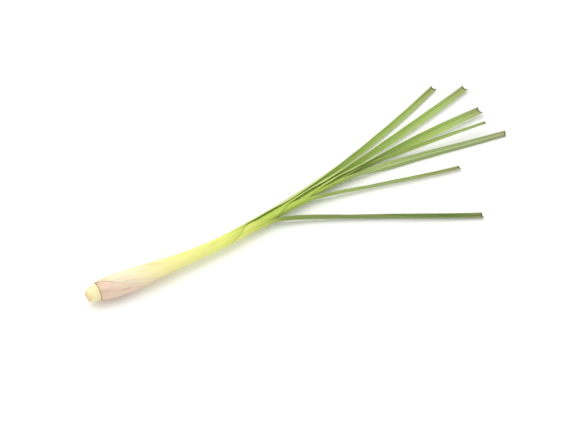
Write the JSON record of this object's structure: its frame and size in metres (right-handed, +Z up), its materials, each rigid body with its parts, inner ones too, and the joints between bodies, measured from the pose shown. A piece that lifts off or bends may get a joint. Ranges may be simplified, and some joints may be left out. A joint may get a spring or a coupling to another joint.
{
  "type": "lemongrass stalk",
  "caption": "Cut lemongrass stalk lying down: pale bulb of wrapped leaf sheaths, trimmed root end, and a fan of long folded green blades cut straight across.",
  "frame": {"origin": "centre of the small flat under the bulb that the stalk rests on", "axes": "+X along the stalk from the root end to the blade tips, +Z up, -Y the near side, where the outermost sheath's edge crosses the bulb"},
  "size_m": [0.4595, 0.1717, 0.0237],
  "materials": {
    "root_end": "matte",
    "outer_leaves": "satin",
    "inner_leaves": "satin"
  },
  "bodies": {
    "root": {"stem_base": "root_end", "leaf_1": "outer_leaves", "leaf_2": "outer_leaves", "leaf_3": "inner_leaves", "leaf_4": "inner_leaves", "leaf_5": "inner_leaves", "leaf_6": "inner_leaves", "leaf_7": "inner_leaves"}
  },
  "joints": []
}
